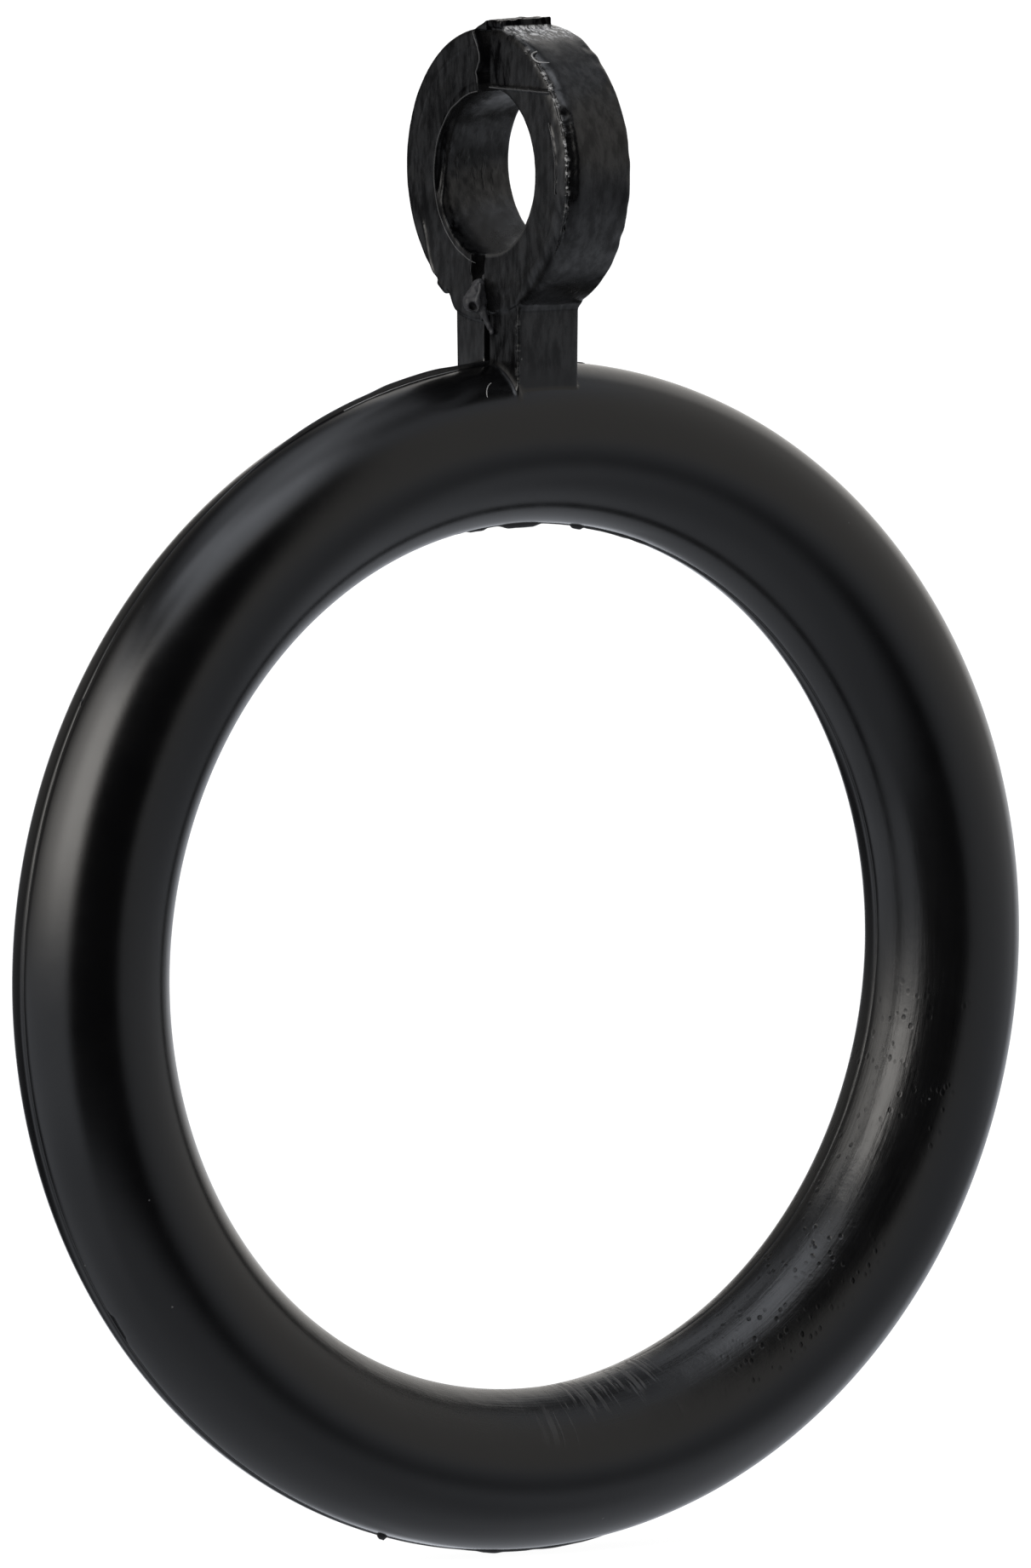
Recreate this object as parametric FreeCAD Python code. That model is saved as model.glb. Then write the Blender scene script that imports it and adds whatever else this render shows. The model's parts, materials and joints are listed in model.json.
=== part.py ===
import FreeCAD, Part
import math
import os

from FreeCAD import Vector

# A plastic curtain ring with a fixed eyelet, moulded as two halves that are welded
# together face to face. Units are millimetres.
# The ring lies in the XZ plane round the Y axis, with its centre at the origin.
# +Z points up to the eyelet, and -Y is the front. The halves meet at Y = 0.

FRONT = -1
BACK = 1

# Ring: a hollow torus with a slightly flattened section.
INSIDE_DIAMETER = 38.0
OUTSIDE_DIAMETER = 52.0
SECTION_DEPTH = 6.3
WALL = 1.3
INNER_RADIUS = INSIDE_DIAMETER / 2
OUTER_RADIUS = OUTSIDE_DIAMETER / 2
RING_RADIUS = (INNER_RADIUS + OUTER_RADIUS) / 2
RADIAL_HALF = (OUTER_RADIUS - INNER_RADIUS) / 2
AXIAL_HALF = SECTION_DEPTH / 2

# Parting line of the ring: a V groove, nearly filled by the weld bead.
GROOVE_DEPTH = 0.2
BEAD_RECESS = 0.05

# Eyelet: a short tube along X above the ring.
EYELET_RADIUS = 6.25
BORE_RADIUS = 3.55
EYELET_LENGTH = 3.5
EYELET_Z = 34.5
EYELET_GAP = 0.6
EDGE_FILLET = 0.15

# Stem: a short block between the ring and the eyelet.
STEM_WIDTH = 3.2
STEM_DEPTH = 4.8
STEM_GAP = 0.3
STEM_TOP_Z = 28.8

# Gate stub: what is left of the sprue on the front half of the eyelet.
STUB_LOW_X = -1.6
STUB_HIGH_X = 1.0
STUB_DEPTH = 0.7
STUB_TOP_Z = 41.0

# Locating pegs on the front half, and their sockets in bosses of the back half.
PEG_ANGLES = (45, 135, 225, 315)
PEG_RADIUS = 0.6
PEG_REACH = 1.2
SOCKET_RADIUS = 0.65
SOCKET_DEPTH = 1.4
BOSS_RADIUS = 1.3
BOSS_DEPTH = 2.5

# Weld between the halves of the stem and eyelet, set back from the outside.
WELD_WIDTH = 2.2
WELD_SETBACK = 0.25
DRIP_RADIUS = 0.45
DRIP_Y = 0.3
DRIP_LOW_Z = 28.7
DRIP_HIGH_Z = 29.8

# Half the width of the blocks that trim other solids.
SPACE = 60.0


def box(low, high):
    """A block between two corners."""
    size = [high[i] - low[i] for i in range(3)]
    return Part.makeBox(size[0], size[1], size[2], Vector(*low))


def side_block(side, gap):
    """Everything on one side of the parting plane, beyond half the gap."""
    near = side * gap / 2
    far = side * SPACE
    low = (-SPACE, min(near, far), -SPACE)
    high = (SPACE, max(near, far), SPACE)
    return box(low, high)


def side_cylinder(side, radius, y_from, y_to, angle):
    """A cylinder along Y in the ring's section, reaching from y_from to y_to."""
    turn = math.radians(angle)
    x = RING_RADIUS * math.cos(turn)
    z = RING_RADIUS * math.sin(turn)
    low = min(side * y_from, side * y_to)
    return Part.makeCylinder(radius, abs(y_to - y_from), Vector(x, low, z), Vector(0, 1, 0))


def half_torus(side, radial_half, axial_half):
    """Half of an elliptical section, turned once round the Y axis."""
    ellipse = Part.Ellipse(Vector(RING_RADIUS, 0, 0), radial_half, axial_half)
    start = 0 if side == BACK else math.pi
    arc = Part.ArcOfEllipse(ellipse, start, start + math.pi)
    inner = Vector(RING_RADIUS - radial_half, 0, 0)
    outer = Vector(RING_RADIUS + radial_half, 0, 0)
    chord = Part.makeLine(inner, outer)
    section = Part.Face(Part.Wire([arc.toShape(), chord]))
    return section.revolve(Vector(0, 0, 0), Vector(0, 1, 0), 360)


def seam_ring(radius, inward, depth, top, angle_from, sweep):
    """A V section that points inward into the section, from `top` below the surface."""
    tip = Vector(radius + inward * depth, 0, 0)
    half_width = depth - top
    left = Vector(radius + inward * top, -half_width, 0)
    right = Vector(radius + inward * top, half_width, 0)
    section = Part.Face(Part.makePolygon([tip, left, right, tip]))
    section.rotate(Vector(0, 0, 0), Vector(0, 1, 0), angle_from)
    return section.revolve(Vector(0, 0, 0), Vector(0, 1, 0), sweep)


def seam_groove(radius, inward):
    """The V groove at one edge of the parting line, cut from just outside the surface."""
    return seam_ring(radius, inward, GROOVE_DEPTH, -GROOVE_DEPTH / 2, 0, 360)


def eyelet_half(side):
    """Half of the eyelet's tube, with softened outer edges and a gap at the parting plane."""
    start = Vector(-EYELET_LENGTH / 2, 0, EYELET_Z)
    tube = Part.makeCylinder(EYELET_RADIUS, EYELET_LENGTH, start, Vector(1, 0, 0))
    rims = [edge for edge in tube.Edges if isinstance(edge.Curve, Part.Circle)]
    tube = tube.makeFillet(EDGE_FILLET, rims)
    return tube.common(side_block(side, EYELET_GAP))


def stem_half(side):
    """Half of the stem, from inside the ring's section up into the eyelet."""
    block = box(
        (-STEM_WIDTH / 2, -STEM_DEPTH / 2, RING_RADIUS),
        (STEM_WIDTH / 2, STEM_DEPTH / 2, STEM_TOP_Z),
    )
    return block.common(side_block(side, STEM_GAP))


def bore():
    """The eyelet's through hole."""
    start = Vector(-SPACE, 0, EYELET_Z)
    return Part.makeCylinder(BORE_RADIUS, 2 * SPACE, start, Vector(1, 0, 0))


def gate_stub():
    """The low slab left on top of the front half where the sprue was snapped off."""
    near = -EYELET_GAP / 2
    return box(
        (STUB_LOW_X, near - STUB_DEPTH, EYELET_Z + BORE_RADIUS + WALL),
        (STUB_HIGH_X, near, STUB_TOP_Z),
    )


def moulded_half(side):
    """One half: ring, stem and eyelet in a single piece, with a channel inside the ring."""
    half = half_torus(side, RADIAL_HALF, AXIAL_HALF)
    half = half.fuse(stem_half(side))
    half = half.fuse(eyelet_half(side))
    if side == FRONT:
        half = half.fuse(gate_stub())
    half = half.cut(bore())
    half = half.cut(half_torus(side, RADIAL_HALF - WALL, AXIAL_HALF - WALL))
    half = half.cut(seam_groove(OUTER_RADIUS, -1))
    half = half.cut(seam_groove(INNER_RADIUS, 1))
    return half


def front_half():
    """The half with the locating pegs."""
    half = moulded_half(FRONT)
    for angle in PEG_ANGLES:
        half = half.fuse(side_cylinder(FRONT, BOSS_RADIUS, 0, BOSS_DEPTH, angle))
        half = half.fuse(side_cylinder(FRONT, PEG_RADIUS, BOSS_DEPTH, -PEG_REACH, angle))
    return half


def back_half():
    """The half with the sockets."""
    half = moulded_half(BACK)
    for angle in PEG_ANGLES:
        half = half.fuse(side_cylinder(BACK, BOSS_RADIUS, 0, BOSS_DEPTH, angle))
        half = half.cut(side_cylinder(BACK, SOCKET_RADIUS, 0, SOCKET_DEPTH, angle))
    return half


def weld_plate(low_z, high_z, gap):
    """A flat slab of weld that fills the gap between the halves."""
    return box(
        (-WELD_WIDTH / 2, -gap / 2, low_z),
        (WELD_WIDTH / 2, gap / 2, high_z),
    )


def drip():
    """The bead squeezed out of the seam under the bore, on the -X end face."""
    x = -EYELET_LENGTH / 2
    low = Vector(x, DRIP_Y, DRIP_LOW_Z)
    high = Vector(x, DRIP_Y, DRIP_HIGH_Z)
    body = Part.makeCylinder(DRIP_RADIUS, DRIP_HIGH_Z - DRIP_LOW_Z, low)
    body = body.fuse(Part.makeSphere(DRIP_RADIUS, low))
    body = body.fuse(Part.makeSphere(DRIP_RADIUS, high))
    neck = box(
        (x, -EYELET_GAP / 2, DRIP_LOW_Z),
        (0, EYELET_GAP / 2, DRIP_HIGH_Z),
    )
    return body.fuse(neck)


def stem_weld(halves):
    """The weld down the stem and the lower wall of the eyelet, with its drip."""
    ring_top = OUTER_RADIUS - GROOVE_DEPTH
    eyelet_wall_top = EYELET_Z - BORE_RADIUS - WELD_SETBACK
    weld = weld_plate(ring_top, STEM_TOP_Z, STEM_GAP)
    weld = weld.fuse(weld_plate(STEM_TOP_Z, eyelet_wall_top, EYELET_GAP))
    weld = weld.fuse(drip())
    return weld.cut(halves)


def eyelet_top_weld():
    """The weld in the upper wall of the eyelet."""
    low = EYELET_Z + BORE_RADIUS + WELD_SETBACK
    high = EYELET_Z + EYELET_RADIUS - WELD_SETBACK
    return weld_plate(low, high, EYELET_GAP)


def outer_weld_bead():
    """The bead round the outside, which stops at each side of the stem."""
    half_angle = math.degrees(math.asin(STEM_WIDTH / 2 / (OUTER_RADIUS - GROOVE_DEPTH)))
    top = -90
    start = top + half_angle
    sweep = 360 - 2 * half_angle
    return seam_ring(OUTER_RADIUS, -1, GROOVE_DEPTH, BEAD_RECESS, start, sweep)


def inner_weld_bead():
    """The bead round the inside, in one closed ring."""
    return seam_ring(INNER_RADIUS, 1, GROOVE_DEPTH, BEAD_RECESS, 0, 360)


def main():
    os.makedirs("parts", exist_ok=True)
    front = front_half()
    back = back_half()
    halves = front.fuse(back)
    pieces = {
        "front_half": front,
        "back_half": back,
        "outer_weld_bead": outer_weld_bead().cut(halves),
        "inner_weld_bead": inner_weld_bead(),
        "stem_weld_bead": stem_weld(halves),
        "eyelet_top_weld_bead": eyelet_top_weld(),
    }
    for name, shape in pieces.items():
        solids = shape.removeSplitter().Solids
        print(name, len(solids), "solids", round(shape.Volume, 3), shape.isValid())
        Part.makeCompound(solids).exportStep(f"parts/{name}.step")


main()
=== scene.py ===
from functools import lru_cache
import json
import math
from types import SimpleNamespace

import bpy
import numpy as np
from mathutils import Matrix, Vector


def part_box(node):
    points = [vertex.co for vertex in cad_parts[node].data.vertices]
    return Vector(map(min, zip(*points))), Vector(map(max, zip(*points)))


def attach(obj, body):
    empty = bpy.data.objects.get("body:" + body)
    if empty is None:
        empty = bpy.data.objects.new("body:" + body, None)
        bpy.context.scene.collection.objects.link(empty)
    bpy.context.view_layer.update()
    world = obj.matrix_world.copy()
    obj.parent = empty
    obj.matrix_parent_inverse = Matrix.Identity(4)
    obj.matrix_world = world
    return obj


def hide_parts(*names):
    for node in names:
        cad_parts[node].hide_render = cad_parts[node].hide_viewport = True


# A black plastic curtain ring, welded from two mouldings, on a pale studio floor.
# Geometry is worked out in millimetres and turned into metres when a mesh is made.
# The ring lies in the XZ plane round the Y axis. -Y is the front and +Z is up.

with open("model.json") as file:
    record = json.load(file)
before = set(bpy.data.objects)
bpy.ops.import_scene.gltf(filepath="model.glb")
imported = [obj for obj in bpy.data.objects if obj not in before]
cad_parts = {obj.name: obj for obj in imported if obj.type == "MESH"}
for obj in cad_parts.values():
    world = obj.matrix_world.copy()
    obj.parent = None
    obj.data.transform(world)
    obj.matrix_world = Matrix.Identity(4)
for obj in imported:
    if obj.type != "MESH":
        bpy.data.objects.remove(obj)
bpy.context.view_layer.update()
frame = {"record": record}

MM = 0.001
FRONT = -1
BACK = 1

# Sizes that the frame doesn't hold, as designed.
SECTION_DEPTH = 6.3
WALL = 1.3
STEM_WIDTH = 3.2
STEM_DEPTH = 4.8
GROOVE_DEPTH = 0.2
BEAD_RECESS = 0.05

# The visible ring stands this much outside the CAD ring.
OUTSIDE_EXTRA = 0.06

# Sizes from the frame.
BORE = [m for m in frame["record"]["mounts"] if m["name"] == "eyelet_bore"][0]
BORE_RADIUS = BORE["dims"]["r_mm"]
EYELET_Z = BORE["pos_m"][2] / MM
EYELET_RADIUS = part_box("back_half")[1][1] / MM
FLOOR_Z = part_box("back_half")[0][2] / MM
TOP_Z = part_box("front_half")[1][2] / MM
OUTER_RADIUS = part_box("outer_weld_bead")[1][0] / MM + BEAD_RECESS + OUTSIDE_EXTRA
INNER_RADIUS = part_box("inner_weld_bead")[1][0] / MM - GROOVE_DEPTH
RING_RADIUS = (INNER_RADIUS + OUTER_RADIUS) / 2
RADIAL_HALF = (OUTER_RADIUS - INNER_RADIUS) / 2
AXIAL_HALF = SECTION_DEPTH / 2

# The halves were welded slightly out of line, so each sits half of the step off centre.
SEAM_STEP = 0.06

# The ring sits a little to one side of the eyelet's axis.
RING_SHIFT_X = 0.04
RING_SHIFT_Z = -0.01

# Mesh resolution.
RING_SEGMENTS = 640
BEAD_SEGMENTS = 1440
BEAD_SECTION_POINTS = 8
OUTER_ARC_POINTS = 44
CHANNEL_ARC_POINTS = 14
GRID_STEP = 0.066
TINY = 1e-9

# Side of the repeating block of random values that noise() reads.
LATTICE_CELLS = 24


# ---------------------------------------------------------------- numbers

def ease(low, high, value):
    """0 below low, 1 above high, and a smooth S between."""
    t = np.clip((value - low) / (high - low), 0.0, 1.0)
    return t * t * (3.0 - 2.0 * t)


def between(low, high, blur, value):
    """1 inside low to high, with edges softened over blur each way."""
    rise = ease(low - blur, low + blur, value)
    fall = ease(high - blur, high + blur, value)
    return rise * (1.0 - fall)


def smooth_min(a, b, k):
    """The lower of two fields, blended over k: a union with a fillet."""
    h = np.clip(0.5 + 0.5 * (b - a) / k, 0.0, 1.0)
    return b * (1.0 - h) + a * h - k * h * (1.0 - h)


def smooth_max(a, b, k):
    """The higher of two fields, blended over k: a cut or overlap with a soft edge."""
    return -smooth_min(-a, -b, k)


@lru_cache(maxsize=None)
def lattice(seed):
    """Random values on a small repeating grid, the same on every run."""
    return np.random.RandomState(seed).uniform(-1.0, 1.0, (LATTICE_CELLS,) * 3)


def noise(seed, size, *coordinates):
    """Smooth noise from -1 to 1 in up to three coordinates, with features about size across."""
    scaled = [np.asarray(c, dtype=float) / size for c in coordinates]
    while len(scaled) < 3:
        scaled.append(np.zeros_like(scaled[0]) + 0.37)
    scaled = np.broadcast_arrays(*scaled)
    base = [np.floor(c).astype(int) for c in scaled]
    part = [c - b for c, b in zip(scaled, base)]
    part = [t * t * (3.0 - 2.0 * t) for t in part]
    total = np.zeros_like(scaled[0])
    for corner in range(8):
        weight = np.ones_like(total)
        index = []
        for axis in range(3):
            step = (corner >> axis) & 1
            weight = weight * (part[axis] if step else 1.0 - part[axis])
            index.append((base[axis] + step) % LATTICE_CELLS)
        total = total + weight * lattice(seed)[index[0], index[1], index[2]]
    return total


# ---------------------------------------------------------------- meshes

def make_object(name, points, faces):
    """An object whose mesh has the given points, in millimetres."""
    mesh = bpy.data.meshes.new(name)
    mesh.from_pydata((np.asarray(points) * MM).tolist(), [], np.asarray(faces).tolist())
    mesh.validate()
    mesh.shade_smooth()
    piece = bpy.data.objects.new(name, mesh)
    bpy.context.scene.collection.objects.link(piece)
    return piece


def loop_faces(rings, points_per_ring, closed_along=True):
    """Quads between neighbouring closed rings of points."""
    last = rings if closed_along else rings - 1
    i, j = np.meshgrid(np.arange(last), np.arange(points_per_ring), indexing="ij")
    i2 = (i + 1) % rings
    j2 = (j + 1) % points_per_ring
    corners = [i * points_per_ring + j, i2 * points_per_ring + j]
    corners += [i2 * points_per_ring + j2, i * points_per_ring + j2]
    return np.stack(corners, -1).reshape(-1, 4)


def outward(points, faces):
    """The faces, turned over if the closed mesh they make is inside out."""
    a, b, c, d = [points[faces[:, k]] for k in range(4)]
    volume = np.einsum("ij,ij->i", a, np.cross(b, c) + np.cross(c, d)).sum()
    return faces if volume > 0 else faces[:, ::-1]


def sample(field, axes, step):
    """The field on a grid: every fourth point first, then each point that is near the surface."""
    skip = 4
    rough = field(*np.meshgrid(*[a[::skip] for a in axes], indexing="ij"))
    nearest = []
    for axis, count in enumerate(rough.shape):
        nearest.append(np.minimum((np.arange(len(axes[axis])) + skip // 2) // skip, count - 1))
    grid = rough[np.ix_(*nearest)]
    near = np.abs(grid) < 1.4 * skip * step
    index = np.nonzero(near)
    grid[near] = field(*[axes[k][index[k]] for k in range(3)])
    return grid


def edge_crossings(grid, inside, cells):
    """For each cell, how many of its edges cross the surface, and the sum of those places."""
    total = np.zeros(cells + (3,))
    count = np.zeros(cells)
    for axis in range(3):
        others = [k for k in range(3) if k != axis]
        for first in (0, 1):
            for second in (0, 1):
                start = [0, 0, 0]
                start[others[0]] = first
                start[others[1]] = second
                near = tuple(slice(s, s + n) for s, n in zip(start, cells))
                start[axis] = 1
                far = tuple(slice(s, s + n) for s, n in zip(start, cells))
                crossing = inside[near] != inside[far]
                span = grid[near] - grid[far]
                safe = np.where(crossing, span, 1.0)
                place = np.where(crossing, grid[near] / safe, 0.0)
                total[..., axis] += place
                total[..., others[0]] += crossing * first
                total[..., others[1]] += crossing * second
                count += crossing
    return count, total


def net_faces(inside, cells, number):
    """A quad round every grid edge that crosses the surface, from the cells' point numbers."""
    faces = []
    for axis in range(3):
        b, c = (axis + 1) % 3, (axis + 2) % 3
        lead = [slice(1, n) for n in cells]
        lead[axis] = slice(0, cells[axis])
        follow = list(lead)
        follow[axis] = slice(1, cells[axis] + 1)
        starts = inside[tuple(lead)]
        ends = inside[tuple(follow)]
        for flag, order in ((starts & ~ends, 1), (~starts & ends, -1)):
            at = np.argwhere(flag)
            at[:, b] += 1
            at[:, c] += 1
            quad = []
            for shift_b, shift_c in ((1, 1), (0, 1), (0, 0), (1, 0)):
                cell = at.copy()
                cell[:, b] -= shift_b
                cell[:, c] -= shift_c
                quad.append(number[cell[:, 0], cell[:, 1], cell[:, 2]])
            faces.append(np.stack(quad, -1)[:, ::order])
    return np.concatenate(faces)


def pull_to_surface(field, points, step):
    """Moves the points of a surface net onto the exact surface."""
    reach = step * 0.25
    for _ in range(3):
        value = field(*points.T)
        slope = np.zeros_like(points)
        for axis in range(3):
            ahead = points.copy()
            behind = points.copy()
            ahead[:, axis] += reach
            behind[:, axis] -= reach
            slope[:, axis] = (field(*ahead.T) - field(*behind.T)) / (2 * reach)
        length2 = np.maximum((slope ** 2).sum(1), 0.2)
        move = -(value / length2)[:, None] * slope
        size = np.linalg.norm(move, axis=1, keepdims=True)
        move *= np.minimum(1.0, 0.5 * step / np.maximum(size, TINY))
        points = points + move
    return points


def surface_net(field, low, high, step):
    """A closed quad mesh of the place where field(x, y, z) is zero, inside low to high."""
    axes = [np.arange(low[k], high[k] + step, step) for k in range(3)]
    grid = sample(field, axes, step)
    for axis in range(3):
        ends = np.take(grid, [0, -1], axis=axis)
        index = [slice(None)] * 3
        index[axis] = [0, -1]
        grid[tuple(index)] = np.maximum(ends, step)
    inside = grid < 0
    cells = tuple(n - 1 for n in grid.shape)
    count, total = edge_crossings(grid, inside, cells)
    active = count > 0
    number = -np.ones(cells, dtype=int)
    number[active] = np.arange(active.sum())
    where = np.argwhere(active)
    points = (where + total[active] / count[active][:, None]) * step + np.asarray(low)
    return pull_to_surface(field, points, step), net_faces(inside, cells, number)


def net_object(name, field, low, high, step=GRID_STEP):
    """An object from a field."""
    points, faces = surface_net(field, low, high, step)
    return make_object(name, points, outward(points, faces))


def unite(piece, other, operation="UNION"):
    """Joins the other closed mesh into the piece, and removes the other object."""
    step = piece.modifiers.new("unite", "BOOLEAN")
    step.operation = operation
    step.solver = "MANIFOLD"
    step.object = other
    bpy.context.view_layer.update()
    graph = bpy.context.evaluated_depsgraph_get()
    mesh = bpy.data.meshes.new_from_object(piece.evaluated_get(graph))
    piece.modifiers.clear()
    old = piece.data
    piece.data = mesh
    mesh.name = piece.name
    bpy.data.meshes.remove(old)
    bpy.data.objects.remove(other)
    mesh.shade_smooth()
    return piece


# ---------------------------------------------------------------- ring

def torus_distance(x, y, z):
    """Distance outside the ring's surface."""
    radial = (np.hypot(x - RING_SHIFT_X, z - RING_SHIFT_Z) - RING_RADIUS) / RADIAL_HALF
    axial = y / AXIAL_HALF
    level = np.sqrt(radial ** 2 + axial ** 2) + TINY
    slope = np.sqrt((radial / RADIAL_HALF) ** 2 + (axial / AXIAL_HALF) ** 2) / level
    return (level - 1.0) / slope


def seam_wave(side, edge_seed, angle):
    """How far the edge of one half wanders along the parting line."""
    x = RING_RADIUS * np.cos(angle)
    z = RING_RADIUS * np.sin(angle)
    return 0.5 * noise(edge_seed + side, 2.6, x, z) + 0.5 * noise(edge_seed + 5, 0.7, x, z)


def dents(angle):
    """Where the front half's outer edge was pressed back along the seam, in radians of section."""
    notch = spike(angle, -144.6, 1.5, 0.115) * (1.0 + 0.3 * noise(61, 0.012, angle))
    return notch + spike(angle, -133.5, 0.5, 0.03) + 0.012 * (1.0 + seam_wave(0, 63, angle))


def ring_half(name, side):
    """Half of the hollow ring: outside, groove edges, lands and channel in one closed section."""
    angle = np.linspace(0, 2 * math.pi, RING_SEGMENTS, endpoint=False)[:, None]
    lift = -side * SEAM_STEP / 2
    outer_groove = GROOVE_DEPTH * (0.4 + 0.15 * seam_wave(side, 11, angle))
    inner_groove = GROOVE_DEPTH * (0.3 + 0.12 * seam_wave(side, 23, angle))
    # The arc starts this many radians of section from the parting line.
    edge = 0.026
    outer_edge = edge + (dents(angle) if side == FRONT else 0.0)
    step = np.linspace(0, 1, OUTER_ARC_POINTS)[None, :]
    turn = outer_edge + (math.pi - edge - outer_edge) * step
    arc_r = RADIAL_HALF * np.cos(turn) + 0 * angle
    arc_y = AXIAL_HALF * np.sin(turn) + 0 * angle
    turn = np.linspace(math.pi, 0, CHANNEL_ARC_POINTS)[None, :]
    channel_r = (RADIAL_HALF - WALL) * np.cos(turn) + 0 * angle
    channel_y = (AXIAL_HALF - WALL) * np.sin(turn) + 0 * angle
    # The groove's side rises this far from the parting line.
    lip = 0.025
    outer_lip_r = np.hstack([RADIAL_HALF - outer_groove, RADIAL_HALF - outer_groove * 0.45])
    outer_lip_y = np.hstack([0 * angle, 0 * angle + lip])
    inner_lip_r = np.hstack([-RADIAL_HALF + inner_groove * 0.45, -RADIAL_HALF + inner_groove])
    inner_lip_y = np.hstack([0 * angle + lip, 0 * angle])
    r = np.hstack([outer_lip_r, arc_r, inner_lip_r, channel_r]) + RING_RADIUS
    y = np.hstack([outer_lip_y, arc_y, inner_lip_y, channel_y]) * side
    x = r * np.cos(angle) + RING_SHIFT_X
    z = r * np.sin(angle) + RING_SHIFT_Z + lift
    points = np.stack([x, y, z], -1)
    count = r.shape[1]
    points = points.reshape(-1, 3)
    faces = loop_faces(RING_SEGMENTS, count)
    return make_object(name, points, outward(points, faces))


def seam_bead(name, radius, inward, height, wander):
    """A ragged bead of melted plastic that follows the parting line all round the ring."""
    angle = np.linspace(0, 2 * math.pi, BEAD_SEGMENTS, endpoint=False)[:, None]
    root = -GROOVE_DEPTH
    crest = height(angle)
    shift = wander(angle)
    half_width = 0.07
    turn = np.linspace(0, 2 * math.pi, BEAD_SECTION_POINTS, endpoint=False)[None, :]
    level = (root + crest) / 2 + (crest - root) / 2 * np.cos(turn)
    y = shift * (0.5 + 0.5 * np.cos(turn)) + half_width * np.sin(turn)
    r = radius - inward * level
    x = r * np.cos(angle) + RING_SHIFT_X
    z = r * np.sin(angle) + RING_SHIFT_Z
    points = np.stack([x, y, z], -1).reshape(-1, 3)
    faces = loop_faces(BEAD_SEGMENTS, BEAD_SECTION_POINTS)
    return make_object(name, points, outward(points, faces))


def spike(angle, centre, half_width, height):
    """A short tongue of flash at one place round the ring, in degrees."""
    offset = np.degrees(angle) - centre
    offset = (offset + 180.0) % 360.0 - 180.0
    return height * between(-half_width, half_width, half_width * 0.35, offset)


def outer_height(angle):
    """Height of the outer bead above the ring's surface, with a fin of flash beside the stem."""
    degrees = np.degrees(angle)
    height = -0.02 + 0.02 * seam_wave(0, 41, angle)
    fin = 0.2 * (1.0 - ease(112.0, 132.0, degrees)) + spike(angle, 102.5, 4.0, 0.06)
    fin = fin + 0.012 * seam_wave(0, 43, angle)
    beside_stem = (degrees > 90.0) & (degrees < 132.0)
    height = np.where(beside_stem, np.maximum(height, fin), height)
    height = height + spike(angle, 84.0, 1.6, 0.1) * (1.0 + 0.3 * noise(45, 0.012, angle))
    height = height + spike(angle, -106.3, 0.5, 0.2)
    height = height + spike(angle, -88.5, 8.0, 0.13) * (1.0 + 0.4 * noise(47, 0.02, angle))
    return height + spike(angle, 152.0, 0.3, 0.08)


def inner_height(angle):
    """Height of the inner bead, with tongues of flash along the top."""
    wave = seam_wave(0, 57, angle)
    height = -0.018 + 0.02 * wave
    height = height + spike(angle, 96.0, 9.0, 0.06) * (1.0 + 0.5 * noise(71, 0.02, angle))
    height = height + spike(angle, 90.0, 2.8, 0.14) + spike(angle, 97.0, 1.4, 0.07)
    height = height + spike(angle, 81.0, 0.9, 0.12)
    height = height + spike(angle, 75.5, 6.0, 0.08) * (1.0 + 0.4 * noise(73, 0.02, angle))
    return height


def seam_wander(angle):
    """How far a bead's crest leans to the front or back."""
    return 0.03 * seam_wave(0, 83, angle)


# ---------------------------------------------------------------- eyelet and stem

# The front half's face steps back above a chord that touches the top of the bore.
CHORD_UP = 3.68
NEAR_FACE_FRONT = -1.72
NEAR_FACE_BACK = -1.78

# How far the bore climbs from its -X end to its +X end.
BORE_TILT = 0.15

# The mouth of the bore on the back half: a shallow recess, low and outward of the bore's axis.
MOUTH_Y = 0.27
MOUTH_UP = -0.33
MOUTH_RADIUS = 3.74
MOUTH_FLOOR = -1.36

# X of the slot's mouth on the end face, where the lips along it follow its edge.
SLOT_MOUTH_X = -1.8

# Radius of the scored line on the front half's face.
SCORE_RADIUS = 5.36

# Where the stem stands, and the height of the faint step where its mould insert ends.
STEM_SHIFT_X = -0.05
STEM_SHIFT_Y = 0.1
STEM_TOP_Z = 29.6
COLLAR_Z = 28.5

# Corners of the gate stub on the front half.
STUB_LOW = (-1.66, -0.95, 40.35)
STUB_HIGH = (1.0, 0.08, 41.1)

# The wedge behind it: its low corner, its +X end, and its slope down from a height at Y = 0.
WEDGE_LOW = (-1.7, 0.1, 40.65)
WEDGE_END_X = 0.9
WEDGE_TOP_Z = 41.17
WEDGE_SLOPE = 0.5


def seam_centre(z):
    """Y of the middle of the seam, which runs further back under the bore."""
    at_stem = 0.14 * ease(25.8, 26.4, z)
    under_bore = 0.52 * ease(28.5, 29.6, z)
    return at_stem + under_bore - 0.46 * ease(31.0, 37.5, z)


def near_opening(side, z):
    """Half the width of the slot where it meets the -X end face."""
    half = 0.15 + 0.21 * ease(28.4, 29.6, z)
    at_top = ease(31.0, 37.5, z)
    if side == FRONT:
        return half - 0.2 * at_top - 0.15 * between(28.4, 30.4, 0.3, z)
    bays = 0.38 * ease(39.7, 40.7, z) + 0.12 * between(38.6, 38.9, 0.15, z)
    bays = bays - 0.14 * between(39.15, 39.65, 0.2, z)
    return half - 0.06 * at_top + bays + 0.05 * noise(91, 0.9, z) + 0.04 * noise(92, 0.35, z)


def half_edge(side, x, z):
    """Y of one half's face at the seam: set back at the end faces, nearly closed inside."""
    far_opening = 0.16 + 0.03 * noise(95 + side, 0.5, z)
    opening = near_opening(side, z) * (1.0 - ease(-1.75, -0.55, x))
    opening = opening + far_opening * ease(0.7, 1.75, x)
    return seam_centre(z) + side * (0.05 + opening)


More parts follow.
